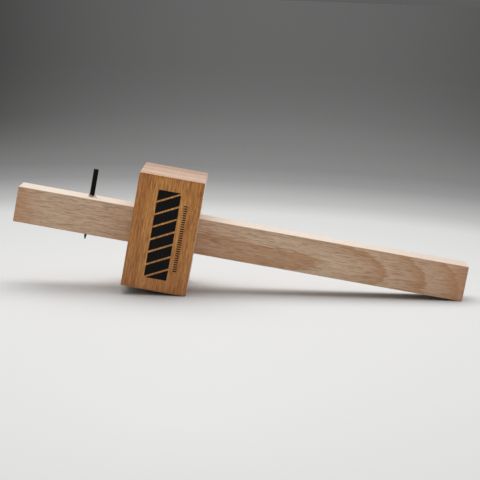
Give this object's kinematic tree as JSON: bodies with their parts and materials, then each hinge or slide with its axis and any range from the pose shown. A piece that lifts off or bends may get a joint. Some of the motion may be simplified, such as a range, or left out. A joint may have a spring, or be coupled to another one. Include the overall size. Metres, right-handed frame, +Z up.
{
  "type": "marking gauge",
  "caption": "Marking gauge: a wooden stock slides on a square wooden stem, is clamped by a knurled thumbscrew, and a pointed steel pin scribes a line parallel to an edge.",
  "frame": {"origin": "on the surface that the tool lies on, under the middle of its bounding box", "axes": "+Z up with the tool at rest, +X towards the tail of the stem, +Y from the plain front of the stock to its thumbscrew"},
  "size_m": [0.2402, 0.0626, 0.0641],
  "materials": {
    "stem_wood": "raw planed beech, pale, with ray flecks",
    "stock_wood": "darker beech with a thin satin lacquer",
    "black_steel": "hardened steel with a black oxide finish",
    "brass": "turned brass, satin"
  },
  "bodies": {
    "stock": {"stock": "stock_wood", "threaded_insert": "brass"},
    "stem": {"stem": "stem_wood"},
    "marking_pin": {"marking_pin": "black_steel"},
    "pressure_pad": {"pressure_pad": "brass"},
    "thumbscrew": {"thumbscrew": "brass"}
  },
  "joints": [
    {"name": "stem_slide", "type": "slide", "parent": "stock", "child": "stem", "axis": [0.9899, 0, -0.142], "range_m": [-0.143, 0.021]},
    {"name": "pin_drive", "type": "slide", "parent": "stem", "child": "marking_pin", "axis": [-0.142, 0, -0.9899], "range_m": [-0.002, 0.003]},
    {"name": "pad_slide", "type": "slide", "parent": "stock", "child": "pressure_pad", "axis": [0, 1, 0], "range_m": [0, 0.0023]},
    {"name": "screw_turn", "type": "hinge", "parent": "pressure_pad", "child": "thumbscrew", "pos_m": [-0.04049, 0.01875, 0.03204], "axis": [0, 1, 0], "range_deg": [0, 720]}
  ],
  "couplings": [
    {"joint": "pad_slide", "follows": "screw_turn", "m_per_rad": 0.00015915}
  ]
}
